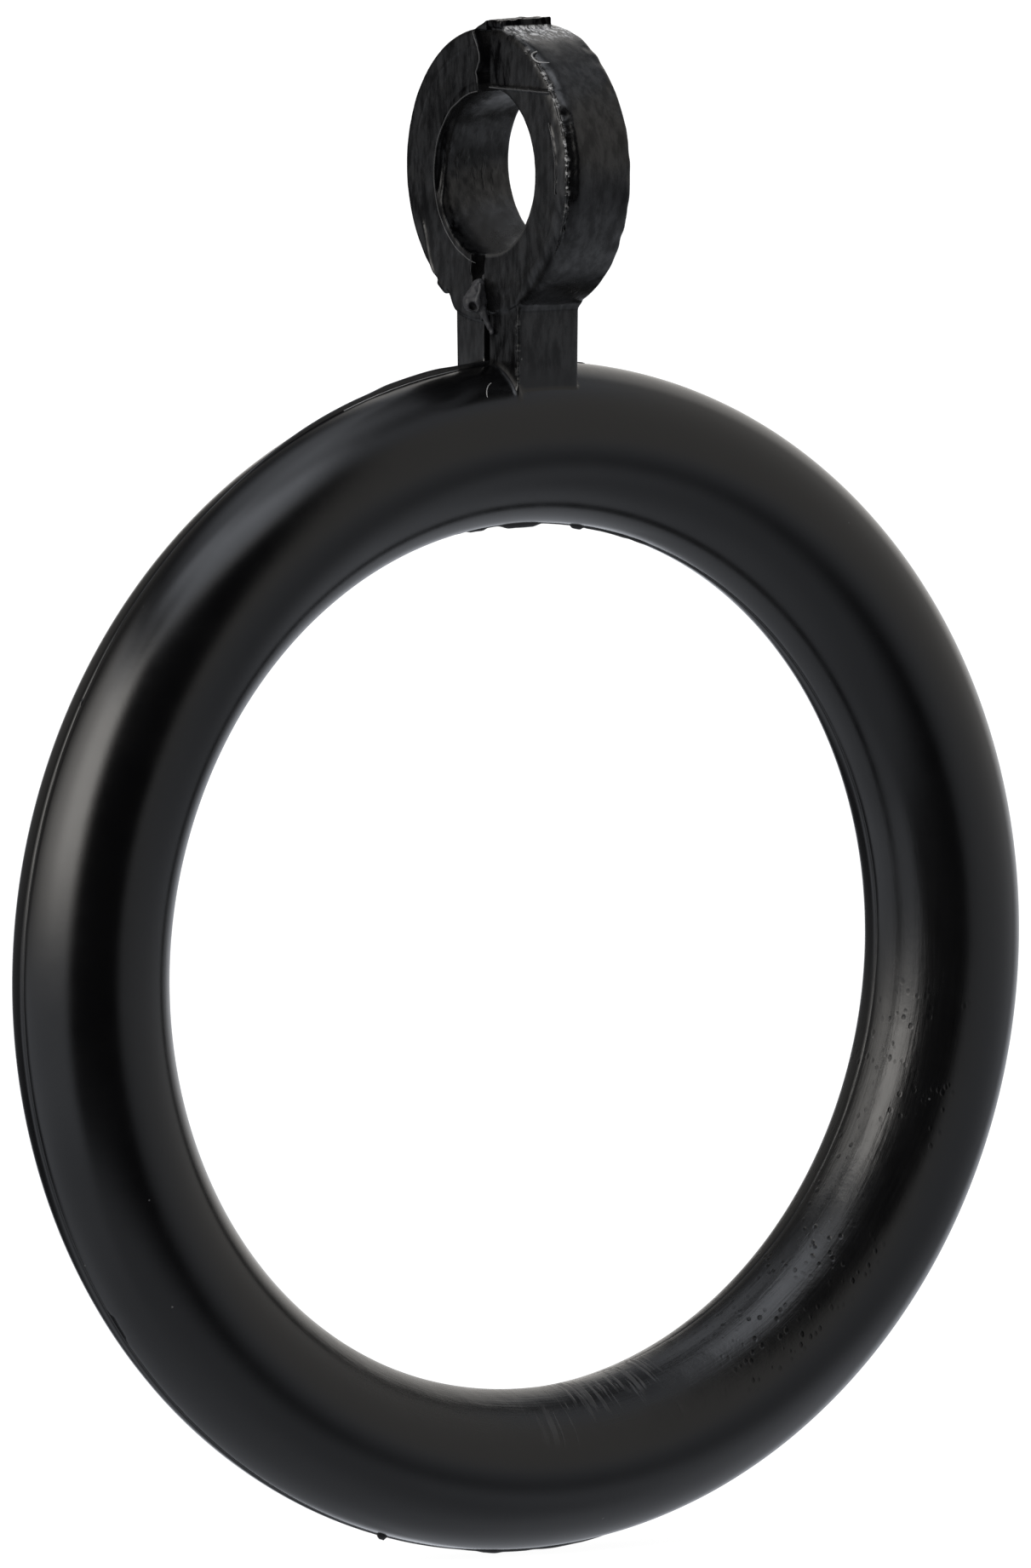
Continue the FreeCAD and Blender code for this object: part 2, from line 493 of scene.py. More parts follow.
def eyelet_field(side, x, y, z):
    """The half tube of the eyelet with its end faces, rims and bore."""
    up = z - EYELET_Z
    radius = np.hypot(y, up)
    turn = np.degrees(np.arctan2(up, side * y))
    rough = noise(101 + side, 0.8, x, y, z)
    fine = noise(105 + side, 0.28, x, y, z)
    nicked = between(-48, 72, 8, turn) * ease(0.9, 1.6, x)
    notches = 0.1 * np.minimum(noise(109, 0.45, turn * 0.1, x), 0.3) * nicked
    foot = 0.0
    if side == BACK:
        foot = 0.45 * (1.0 - ease(-69.0, -61.0, turn)) - 0.1 * (1.0 - ease(-90.0, -72.0, turn))
    outer = radius - (EYELET_RADIUS + 0.014 * rough + notches + foot)
    bore = BORE_RADIUS + 0.008 * fine - 0.065 * x
    tilt = BORE_TILT * ease(-1.6, 1.6, x)
    if side == FRONT:
        face = NEAR_FACE_FRONT + 0.09 * ease(CHORD_UP, CHORD_UP + 0.08, up) + 0.012 * rough
        near_blend = 0.12 + 0.28 * ease(-72.0, -58.0, turn) + 0.45 * between(-62, 52, 12, turn)
        far_end = 1.62
        bore = bore - np.hypot(y, up - tilt)
    else:
        face = NEAR_FACE_BACK + 0.02 * rough
        near_blend = 0.16
        far_end = 1.78
        skew = 0.5 * (1.0 - ease(-1.6, 1.6, x))
        bore = bore - mouth_distance(y, up - tilt, skew)
        recess = MOUTH_RADIUS + 0.05 * noise(113, 0.8, turn * 0.1) - mouth_distance(y, up, 1.0)
        floor = MOUTH_FLOOR - 0.5 * (1.0 - ease(-2.4, 0.2, up)) + 0.03 * rough
        recess = smooth_min(recess, floor - x, 0.2)
        bore = smooth_max(bore, recess, 0.08)
    near = face + 0.006 * fine - x
    tube = smooth_max(outer, near, near_blend)
    tube = smooth_max(tube, x - far_end, 0.14)
    return smooth_max(tube, bore, 0.10)


def mouth_distance(y, up, skew):
    """Distance from the bore's axis at skew 0, or from the middle of the recess at skew 1."""
    return np.hypot(y - MOUTH_Y * skew, up - MOUTH_UP * skew)


def ridge(radius, x, centre_radius, centre_x, size):
    """A thin round cord that follows a circle, or an edge."""
    return np.hypot(radius - centre_radius, x - centre_x) - size


def front_flash(shape, x, y, z):
    """The torn rim's lip, the groove behind it, and the scored line and chord on the face."""
    up = z - EYELET_Z
    radius = np.hypot(y, up)
    turn = np.degrees(np.arctan2(up, -y))
    jag = noise(121, 0.22, y, z) + 0.6 * noise(123, 0.1, y, z)
    size = 0.12 * between(-30, 58, 14, turn) * (1.0 + 0.45 * jag) - 0.02
    lip = ridge(radius, x, EYELET_RADIUS - 0.06, -1.68 + 0.04 * jag, size)
    shape = smooth_min(shape, lip, 0.1)
    groove_size = 0.26 * between(-11, 30, 5, turn) * (1.0 + 0.12 * jag) - 0.03
    groove = ridge(radius, x, EYELET_RADIUS + 0.07, -1.44, groove_size)
    shape = smooth_max(shape, -groove, 0.12)
    size = 0.075 * between(-8, 24, 4, turn) * (1.0 + 0.5 * jag)
    shape = smooth_min(shape, ridge(radius, x, SCORE_RADIUS, -1.71, size), 0.05)
    along = between(-4.9, -0.3, 0.15, y)
    chord = ridge(up, x, CHORD_UP - 0.02, -1.72, 0.085 * along * (1.0 + 0.3 * jag))
    return smooth_min(shape, chord, 0.05)


def back_flash(shape, x, y, z):
    """The lips along the slot, the fin low on the rim and the raised line beside it."""
    up = z - EYELET_Z
    radius = np.hypot(y, up)
    turn = np.degrees(np.arctan2(up, y))
    jag = noise(131, 0.5, y, z) + 0.5 * noise(133, 0.2, y, z)
    slot_edge = half_edge(BACK, SLOT_MOUTH_X, z) + 0.04
    beside_slot = between(29.9, 30.9, 0.2, z) + between(38.0, 40.5, 0.2, z)
    lip = ridge(y, x, slot_edge, -1.77, 0.065 * beside_slot * (1.0 + 0.3 * jag))
    shape = smooth_min(shape, lip, 0.05)
    fin = ridge(radius, x, EYELET_RADIUS + 0.06, -1.60, 0.21 * between(-60, -52, 1.5, turn) - 0.03)
    shape = smooth_min(shape, fin, 0.12)
    seam_radius = 5.5 + 0.7 * (1.0 - ease(-52.0, -28.0, turn))
    seam = ridge(radius, x, seam_radius, -1.78, 0.06 * between(-50, -26, 5, turn))
    return smooth_min(shape, seam, 0.06)


def stub_field(x, y, z):
    """The snapped-off gate on top of the front half: a low slab with a torn top."""
    torn = 0.035 * noise(141, 0.5, x, y) + 0.02 * noise(143, 0.2, x, y)
    top = STUB_HIGH[2] + 0.03 * x + torn
    left = STUB_LOW[0] + 0.5 * ease(40.85, 40.45, z) - x
    right = x - STUB_HIGH[0] + 0.05 * noise(145, 0.4, z, y)
    front = STUB_LOW[1] - y + 0.04 * noise(147, 0.5, x, z)
    back = y - STUB_HIGH[1]
    slab = smooth_max(z - top, np.maximum(left, right), 0.08)
    slab = smooth_max(slab, np.maximum(front, back), 0.06)
    return np.maximum(slab, STUB_LOW[2] - z)


def wedge_field(x, y, z):
    """The low wedge of flash on top of the back half, behind the gate stub."""
    top = WEDGE_TOP_Z - WEDGE_SLOPE * y + 0.03 * noise(149, 0.4, x, y)
    wedge = smooth_max(z - top, np.maximum(WEDGE_LOW[0] - x, x - WEDGE_END_X), 0.08)
    return np.maximum(np.maximum(wedge, WEDGE_LOW[1] - y), WEDGE_LOW[2] - z)


def stem_field(side, x, y, z):
    """Half of the stem, with faint drawn lines down it and a ragged front corner."""
    draft = 0.02 * (z - 27.0)
    half_width = STEM_WIDTH / 2 + 0.012 * noise(151 + side, 0.3, y) + 0.01 * noise(153, 1.2, y, z)
    collar = 0.02 * ease(COLLAR_Z - 0.04, COLLAR_Z + 0.04, z)
    half_depth = STEM_DEPTH / 2 + draft + collar + 0.012 * noise(155 + side, 0.25, x)
    wide = np.abs(x - STEM_SHIFT_X) - half_width
    deep = side * (y - STEM_SHIFT_Y) - half_depth
    block = smooth_max(wide, deep, 0.14)
    if side == FRONT:
        corner_x = STEM_SHIFT_X - STEM_WIDTH / 2 + 0.03
        corner_y = STEM_SHIFT_Y - STEM_DEPTH / 2 + 0.03
        size = 0.05 * (1.0 + 0.4 * noise(157, 0.16, z))
        block = smooth_min(block, ridge(x, y, corner_x, corner_y, size), 0.04)
    return np.maximum(block, z - STEM_TOP_Z)


def half_field(side):
    """The field of one half's eyelet and stem, cut at the seam, with a fillet onto the ring."""
    lift = -side * SEAM_STEP / 2

    def field(x, y, z):
        z = z - lift
        stem = stem_field(side, x, y, z)
        ring = torus_distance(x, y, z) + 0.008
        root = smooth_min(stem, ring, 0.08 + 0.26 * (1.0 - ease(-1.7, -1.2, x)))
        block = np.maximum(np.abs(x) - 2.4, np.abs(y) - 3.6)
        root = np.maximum(root, block)
        shape = eyelet_field(side, x, y, z)
        if side == FRONT:
            shape = smooth_min(shape, stub_field(x, y, z), 0.22)
        shape = smooth_min(shape, root, 0.04 + 0.28 * ease(-1.7, -1.3, x))
        shape = np.maximum(shape, BORE_RADIUS - np.hypot(y, z - EYELET_Z) - 0.25)
        if side == FRONT:
            shape = front_flash(shape, x, y, z)
        else:
            shape = back_flash(shape, x, y, z)
        parting = side * (half_edge(side, x, z) - y)
        blend = 0.07 + 0.1 * ease(29.0, 30.0, z) - 0.05 * ease(37.0, 38.0, z)
        if side == BACK:
            blend = 0.06
        shape = smooth_max(shape, parting, blend)
        # On top, the stub and the wedge reach past the seam.
        if side == FRONT:
            shape = smooth_min(shape, np.maximum(stub_field(x, y, z), 40.72 - z), 0.02)
        else:
            shape = smooth_min(shape, wedge_field(x, y, z), 0.04)
        inside_wall = -(torus_distance(x, y, z) + WALL * 0.5)
        return np.maximum(shape, inside_wall)

    return field


def moulded_half(name, side):
    """One half as a single closed mesh."""
    low_y = -7.0 if side == FRONT else -0.2
    low = (-2.6, low_y, 22.6)
    high = (2.5, low_y + 7.2, TOP_Z + 0.5)
    half = ring_half(name, side)
    upper = net_object(name + "_upper", half_field(side), low, high)
    return unite(half, upper)


# ---------------------------------------------------------------- welds in the eyelet

WELD_HALF_WIDTH = 1.05

# The pit in the drip where a bubble burst.
PIT_MOUTH = (-2.62, -0.22, 28.62)
PIT_END = (-2.2, 0.38, 28.56)


def capsule(x, y, z, start, end, start_size, end_size):
    """A rod with round ends whose radius changes along it."""
    start = np.asarray(start)
    run = np.asarray(end) - start
    t = ((x - start[0]) * run[0] + (y - start[1]) * run[1] + (z - start[2]) * run[2])
    t = np.clip(t / (run @ run), 0.0, 1.0)
    dx = x - start[0] - t * run[0]
    dy = y - start[1] - t * run[1]
    dz = z - start[2] - t * run[2]
    return np.sqrt(dx * dx + dy * dy + dz * dz) - (start_size + t * (end_size - start_size))


def stem_weld_field(x, y, z):
    """The weld down the stem and lower wall, and the drip squeezed out on the end face."""
    gap = 0.1 + 0.22 * ease(28.4, 29.4, z)
    plate = smooth_max(np.abs(y - seam_centre(z)) - gap, np.abs(x) - WELD_HALF_WIDTH, 0.1)
    plate = smooth_max(plate, z - 30.6, 0.1)
    plate = np.maximum(plate, 25.85 - z)
    neck = capsule(x, y, z, (-1.2, 0.5, 29.7), (-1.3, 0.3, 28.4), 0.36, 0.3)
    lump = capsule(x, y, z, (-1.84, 0.42, 29.5), (-2.0, 0.47, 28.8), 0.3, 0.55)
    edge = capsule(x, y, z, (-2.08, -0.02, 29.55), (-2.3, -0.05, 28.5), 0.1, 0.16)
    tail = capsule(x, y, z, (-2.02, -0.05, 28.4), (-1.74, -0.42, 27.45), 0.17, 0.07)
    drip = smooth_min(neck, lump, 0.12)
    drip = smooth_min(drip, edge, 0.16)
    drip = smooth_min(drip, tail, 0.1)
    drip = smooth_max(drip, -capsule(x, y, z, PIT_MOUTH, PIT_END, 0.26, 0.15), 0.05)
    lumps = 0.045 * noise(161, 0.35, x, y, z) + 0.03 * noise(163, 0.15, x, y, z)
    return smooth_min(plate, drip + lumps, 0.12)



def top_weld_field(x, y, z):
    """The weld in the upper wall, set back in the gap."""
    plate = np.abs(y - seam_centre(z)) - 0.3
    wide = np.abs(x) - WELD_HALF_WIDTH + 0.1 * noise(171, 0.5, y, z)
    plate = smooth_max(plate, wide, 0.1)
    plate = smooth_max(plate, z - 40.45, 0.1)
    return smooth_max(plate, 38.45 - z, 0.1)


# ---------------------------------------------------------------- whiskers

def whisker(points, size):
    """A thin curled sliver of plastic along given points."""
    curve = bpy.data.curves.new("whisker", "CURVE")
    curve.dimensions = "3D"
    curve.bevel_depth = size * MM
    curve.bevel_resolution = 2
    curve.use_fill_caps = True
    spline = curve.splines.new("NURBS")
    spline.points.add(len(points) - 1)
    for target, place in zip(spline.points, points):
        target.co = (place[0] * MM, place[1] * MM, place[2] * MM, 1.0)
    spline.points[-1].radius = 0.35
    spline.order_u = 3
    spline.use_endpoint_u = True
    spline.resolution_u = 6
    holder = bpy.data.objects.new("whisker", curve)
    bpy.context.scene.collection.objects.link(holder)
    bpy.context.view_layer.update()
    graph = bpy.context.evaluated_depsgraph_get()
    mesh = bpy.data.meshes.new_from_object(holder.evaluated_get(graph))
    bpy.data.objects.remove(holder)
    piece = bpy.data.objects.new("whisker", mesh)
    bpy.context.scene.collection.objects.link(piece)
    return piece


# ---------------------------------------------------------------- node helpers

class Nodes:
    """Short names for adding and joining shader nodes in one tree."""

    def __init__(self, tree):
        self.tree = tree
        tree.nodes.clear()

    def add(self, kind, **settings):
        node = self.tree.nodes.new(kind)
        for key, value in settings.items():
            setattr(node, key, value)
        return node

    def join(self, value, socket):
        """Links a socket, or sets a constant."""
        if isinstance(value, bpy.types.NodeSocket):
            self.tree.links.new(value, socket)
        else:
            socket.default_value = value

    def math(self, operation, first, second=0.0, third=None, clamp=False):
        node = self.add("ShaderNodeMath", operation=operation, use_clamp=clamp)
        self.join(first, node.inputs[0])
        self.join(second, node.inputs[1])
        if third is not None:
            self.join(third, node.inputs[2])
        return node.outputs[0]

    def ease(self, value, low, high, start=0.0, end=1.0):
        node = self.add("ShaderNodeMapRange", interpolation_type="SMOOTHSTEP")
        self.join(value, node.inputs["Value"])
        self.join(low, node.inputs["From Min"])
        self.join(high, node.inputs["From Max"])
        self.join(start, node.inputs["To Min"])
        self.join(end, node.inputs["To Max"])
        return node.outputs[0]

    def between(self, value, low, high, blur_low, blur_high):
        rise = self.ease(value, low - blur_low, low + blur_low)
        fall = self.ease(value, high - blur_high, high + blur_high, 1.0, 0.0)
        return self.math("MULTIPLY", rise, fall)

    def noise(self, vector, scale, detail=3.0, roughness=0.55):
        node = self.add("ShaderNodeTexNoise")
        self.join(vector, node.inputs["Vector"])
        node.inputs["Scale"].default_value = scale
        node.inputs["Detail"].default_value = detail
        node.inputs["Roughness"].default_value = roughness
        return node.outputs[0]

    def vector(self, x, y, z):
        node = self.add("ShaderNodeCombineXYZ")
        for value, socket in zip((x, y, z), node.inputs):
            self.join(value, socket)
        return node.outputs[0]

    def split(self, vector):
        node = self.add("ShaderNodeSeparateXYZ")
        self.join(vector, node.inputs[0])
        return node.outputs

    def total(self, values):
        result = values[0]
        for value in values[1:]:
            result = self.math("ADD", result, value)
        return result

    def product(self, *values):
        result = values[0]
        for value in values[1:]:
            result = self.math("MULTIPLY", result, value)
        return result

    def mixed(self, *pairs):
        """The total of values, each with its weight."""
        return self.total([self.product(value, weight) for value, weight in pairs])

    def length(self, first, second):
        squares = self.math("ADD", self.product(first, first), self.product(second, second))
        return self.math("SQRT", squares)

    def voronoi(self, vector, scale):
        node = self.add("ShaderNodeTexVoronoi")
        self.join(vector, node.inputs["Vector"])
        node.inputs["Scale"].default_value = scale
        return node.outputs["Distance"], node.outputs["Color"]


# ---------------------------------------------------------------- materials

def coordinates(n):
    """The places, masks and noises that the parts of the plastic's shader share."""
    c = SimpleNamespace()
    c.place = n.add("ShaderNodeTexCoord").outputs["Object"]
    c.x, c.y, c.z = n.split(c.place)
    c.angle = n.math("ARCTAN2", c.z, c.x)
    c.radius = n.length(c.x, c.z)
    c.up = n.math("SUBTRACT", c.z, EYELET_Z * MM)
    c.eye_radius = n.length(c.y, c.up)
    c.broad = n.noise(c.place, 160.0, 3.0)
    c.medium = n.noise(c.place, 900.0, 4.0, 0.6)
    c.fine = n.noise(c.place, 5200.0, 3.0, 0.6)
    c.eyelet = n.ease(c.z, 0.0256, 0.0282)
    c.end_face = n.product(c.eyelet, n.ease(c.x, -0.00145, -0.0016))
    c.above_chord = n.product(c.end_face, n.ease(c.up, 0.0036, 0.0038),
                              n.between(c.y, -0.0016, 0.0001, 0.0009, 0.0001))
    return c


def pole_marks(n, c):
    """Marks inside the lower half, where the ring rubs on its pole.

    Short lines cross the ring in a few patches, and fine streaks follow the ring.
    """
    inside = n.ease(c.radius, 0.0216, 0.0203)
    low_part = n.between(c.angle, math.radians(-92), math.radians(-71), 0.08, 0.03)
    patches = n.noise(n.vector(c.angle, n.product(c.y, 60.0), 0.0), 9.0, 2.0, 0.5)
    lines = n.noise(n.vector(c.angle, n.product(c.y, 3.5), c.radius), 118.0, 2.0, 0.5)
    scratch = n.product(inside, low_part, n.ease(patches, 0.4, 0.54), n.ease(lines, 0.5, 0.62))
    streak_place = n.vector(n.product(c.angle, 9.0), n.product(c.y, 8000.0),
                            n.product(c.radius, 8000.0))
    streaks = n.noise(streak_place, 1.0, 3.0, 0.6)
    low_half = n.between(c.angle, math.radians(-128), math.radians(5), 0.2, 0.6)
    rubbed = n.product(low_half, n.ease(c.radius, 0.0222, 0.0204, 0.0, 5.0))
    worn = n.product(low_half, n.ease(c.radius, 0.0222, 0.0204), streaks)
    return scratch, worn, rubbed


def dust(n, c):
    """Dust and tiny nicks."""
    distance, color = n.voronoi(c.place, 700.0)
    return n.product(n.ease(distance, 0.045, 0.02), n.ease(n.split(color)[0], 0.8, 1.0))


def pitting(n, c):
    """Pits and small dents where the pole rubs, in the lower right part."""
    distance, color = n.voronoi(n.vector(c.x, c.y, n.product(c.z, 0.7)), 3000.0)
    chosen = n.ease(n.split(color)[1], 0.35, 0.4)
    part = n.between(c.angle, math.radians(-62), math.radians(-8), 0.1, 0.1)
    return n.product(chosen, n.ease(distance, 0.38, 0.16), part,
                     n.ease(c.radius, 0.0224, 0.0212), n.ease(c.broad, 0.4, 0.52))


def whitening(n, c):
    """Stress-whitened plastic below the gate stub, down the torn rim and on the stem's corner."""
    tear = n.noise(n.vector(n.product(c.x, 2.0), c.y, c.z), 2600.0, 4.0, 0.7)
    below_stub = n.product(n.between(c.y, -0.0022, -0.00088, 0.0007, 0.00004),
                           n.between(c.x, -0.0014, 0.0016, 0.0002, 0.0002),
                           n.between(c.z, 0.0401, 0.04083, 0.0003, 0.00005),
                           n.ease(tear, 0.42, 0.62, 0.06, 1.0), 2.1)
    tick_place = n.vector(n.product(c.x, 0.4), n.product(c.y, 0.4), c.z)
    ticks = n.ease(n.noise(tick_place, 4200.0, 4.0, 0.7), 0.5, 0.64)
    at_rim = n.product(n.ease(c.x, -0.0014, -0.00158), n.ease(c.eye_radius, 0.00585, 0.006),
                       n.ease(c.y, -0.0026, -0.0032),
                       n.between(c.z, 0.0337, 0.0405, 0.0018, 0.0006), ticks, 0.9)
    at_corner = n.product(n.ease(c.x, -0.00145, -0.0016),
                          n.between(c.y, -0.0026, -0.0021, 0.0001, 0.0001),
                          n.between(c.z, 0.0252, 0.0281, 0.0003, 0.0003), ticks, 0.1)
    return n.total([below_stub, at_rim, at_corner])


def bore_marks(n, c):
    """The wall of the bore, and the chatter marks on it."""
    in_bore = n.ease(c.eye_radius, 0.00385, 0.00372)
    turn = n.math("ARCTAN2", c.up, c.y)
    marks = n.noise(n.vector(n.product(c.x, 3000.0), n.product(turn, 4.0), 0.0), 1.0, 2.0, 0.5)
    chatter = n.product(in_bore, n.ease(marks, 0.54, 0.7), n.between(turn, -0.45, 0.5, 0.2, 0.2))
    return in_bore, chatter


def end_scuffs(n, c):
    """How scuffed the -X end faces are: most of all at the mouth of the bore."""
    back_part = n.ease(c.y, 0.0, 0.0006)
    low_face = n.ease(c.up, -0.0018, -0.0036)
    back_scuff = n.product(back_part, n.math("MULTIPLY_ADD", low_face, -0.22, 0.12))
    scuffed = n.product(c.end_face, n.total([n.product(low_face, 0.07), back_scuff, 0.17]))
    scuffed = n.math("MULTIPLY_ADD", c.above_chord, 0.24, scuffed)
    mouth = n.product(n.ease(c.eye_radius, 0.00405, 0.0039), n.ease(c.x, -0.0011, -0.0014),
                      c.eyelet, back_part, 0.38)
    return n.math("MAXIMUM", scuffed, mouth)


def specular_level(n, c, pitted):
    """Lower where the plastic is scuffed, snapped or pitted, and streaky above the ring."""
    stem_face = n.product(n.ease(c.x, -0.0014, -0.0016),
                          n.between(c.y, -0.0023, -0.0001, 0.0001, 0.0001),
                          n.between(c.z, 0.0251, 0.0284, 0.0003, 0.0002), 0.33)
    snapped = n.product(n.ease(c.z, 0.0408, 0.04086), n.ease(c.y, -0.00112, -0.00102), 0.42)
    dull = end_scuffs(n, c)
    for patch in (stem_face, snapped, n.product(pitted, 0.3)):
        dull = n.math("MAXIMUM", dull, patch)
    grain = n.noise(n.vector(c.x, c.y, n.product(c.z, 0.3)), 2400.0, 4.0, 0.65)
    grain = n.product(n.ease(c.z, 0.0253, 0.0262), n.ease(grain, 0.36, 0.64, -0.15, 0.15))
    return n.math("SUBTRACT", 0.5, n.math("ADD", dull, grain), clamp=True)


def plastic(name, base, roughness, whitened):
    """Moulded black plastic: gloss on the ring, duller and scuffed on the eyelet."""
    material = bpy.data.materials.new(name)
    material.use_nodes = True
    n = Nodes(material.node_tree)
    shader = n.add("ShaderNodeBsdfPrincipled")
    output = n.add("ShaderNodeOutputMaterial")
    n.join(shader.outputs[0], output.inputs["Surface"])
    shader.inputs["IOR"].default_value = 1.5

    c = coordinates(n)
    scratch, worn, rubbed = pole_marks(n, c)
    speck = dust(n, c)
    pitted = pitting(n, c)
    white = n.product(whitening(n, c), whitened)
    in_bore, chatter = bore_marks(n, c)
    n.join(specular_level(n, c, pitted), shader.inputs["Specular IOR Level"])

    # Painted light: the base colour is made lighter low in the bore, standing in for light on the
    # bore's lower wall.
    painted_light_low_in_bore = n.product(in_bore, n.ease(c.up, 0.0, -0.003))
    light = n.mixed((speck, 0.05), (white, 0.3), (painted_light_low_in_bore, 0.02), (scratch, 0.02),
                    (c.broad, 0.0012), (worn, 0.003), (chatter, 0.004), (in_bore, 0.003))
    tint = n.add("ShaderNodeCombineColor")
    for channel, value in zip(tint.inputs, base):
        n.join(n.math("ADD", light, value), channel)
    n.join(tint.outputs[0], shader.inputs["Base Color"])

    medium = n.math("SUBTRACT", c.medium, 0.5)
    broad = n.math("SUBTRACT", c.broad, 0.5)
    shine = n.mixed((medium, 0.10), (broad, 0.08), (c.eyelet, 0.07), (scratch, 0.16),
                    (worn, 0.12), (white, 0.3), (speck, 0.3))
    n.join(n.math("ADD", shine, roughness, clamp=True), shader.inputs["Roughness"])

    foot = n.product(n.between(c.z, 0.0286, 0.0297, 0.0002, 0.0004),
                     n.ease(c.y, -0.0006, -0.0012))
    torn = n.product(n.math("MAXIMUM", c.above_chord, foot), n.noise(c.place, 2100.0, 3.0, 0.6))
    relief = n.mixed((c.medium, n.math("MULTIPLY_ADD", c.eyelet, 0.9, 0.28)),
                     (c.fine, n.math("MULTIPLY_ADD", c.eyelet, 0.25, 0.08)),
                     (torn, 3.0), (n.product(rubbed, c.fine), 0.1),
                     (c.broad, 1.3), (scratch, 1.1), (worn, 1.0), (white, 1.5),
                     (rubbed, n.noise(c.place, 430.0, 2.0)),
                     (pitted, -1.5), (chatter, 0.7), (speck, 1.2))
    bump = n.add("ShaderNodeBump")
    bump.inputs["Strength"].default_value = 1.0
    bump.inputs["Distance"].default_value = 0.00001
    n.join(relief, bump.inputs["Height"])
    n.join(bump.outputs[0], shader.inputs["Normal"])
    return material


# ---------------------------------------------------------------- studio

def face_direction(azimuth, elevation):
    """The unit vector from the object to a camera at this view."""
    a = math.radians(azimuth)
    e = math.radians(elevation)
    return Vector((math.sin(a) * math.cos(e), -math.cos(a) * math.cos(e), math.sin(e)))


CAMERA_AZIMUTH = -34.27
CAMERA_ELEVATION = 4.95
CAMERA_DISTANCE = 1.35
FRAME_HEIGHT = 68.57
AIM_RIGHT = -0.18
AIM_UP = 7.54
SENSOR = 36.0

# The floor's size, and how far it lies under the plain ring to clear the flash there.
FLOOR_HALF = 8000.0
FLOOR_DROP = 0.22


def make_camera():
    """A long lens, so that the view is nearly free of perspective."""
    back = face_direction(CAMERA_AZIMUTH, CAMERA_ELEVATION)
    right = Vector((0, 0, 1)).cross(back).normalized()
    up = back.cross(right)
    aim = (right * AIM_RIGHT + up * AIM_UP) * MM
    data = bpy.data.cameras.new("camera")
    data.sensor_width = SENSOR
    data.lens = SENSOR * CAMERA_DISTANCE / (FRAME_HEIGHT * MM)
    data.clip_start = 0.05
    data.clip_end = 50.0
    camera = bpy.data.objects.new("camera", data)
    turn = Matrix((right, up, back)).transposed().to_4x4()
    camera.matrix_world = Matrix.Translation(aim + back * CAMERA_DISTANCE) @ turn
    bpy.context.scene.collection.objects.link(camera)
    bpy.context.scene.camera = camera


# Light panels round the object: azimuth from the camera's side, positive to its right,
# elevation, softness of the edges, all in degrees, and brightness.
PANELS = (
    ("floor_glow", -220, 220, -120, -27, 10, 10, 10, 11, 0.40),
    ("nadir", -220, 220, -130, -58, 10, 10, 10, 14, 0.10),
    ("floor_glow_left", -118, -26, -52, -30, 14, 12, 12, 10, 0.15),
    ("floor_glow_right", 92, 190, -62, -28, 12, 14, 14, 10, 0.18),
    ("right_wall", 50, 138, -9, 62, 6, 10, 14, 8, 0.56),
    ("right_wall_low", 62, 138, -34, -9, 14, 10, 8, 14, 0.27),
    ("right_back", 142, 190, -26, 2, 9, 6, 8, 8, 0.7),
    ("right_back_upper", 140, 190, 0, 50, 8, 6, 8, 10, 0.92),
    ("behind", -220, -169, -34, 50, 6, 8, 10, 12, 1.15),
    ("left_low", -112, -21, -28, 2, 12, 8, 9, 11, 0.68),
    ("left_back", -220, -112, -5, 50, 10, 14, 20, 10, 0.15),
    ("key", -90, -19, 5, 47, 24, 10, 14, 6, 2.7),
    ("key_core", -60, -23, 9, 42, 14, 7, 13, 5, 2.2),
    ("key_corner", -38, -18, 41, 51, 6, 6, 3, 4, -0.9),
    ("ceiling", -220, 52, 60, 120, 14, 18, 12, 9, 0.9),
    ("ceiling_right", 52, 220, 66, 120, 18, 12, 14, 9, 0.42),
    ("zenith", -220, 220, 81, 120, 10, 10, 10, 10, 0.7),
    ("overhead", -24, 38, 46, 74, 12, 16, 7, 8, 1.75),
    ("overhead_left", -66, -24, 57, 74, 16, 12, 7, 8, 1.5),
)

# The light is warm from the sides and cool from above and below.
COOL_LIGHT = (0.95, 0.99, 1.07, 1.0)
WARM_LIGHT = (1.03, 1.0, 0.96, 1.0)


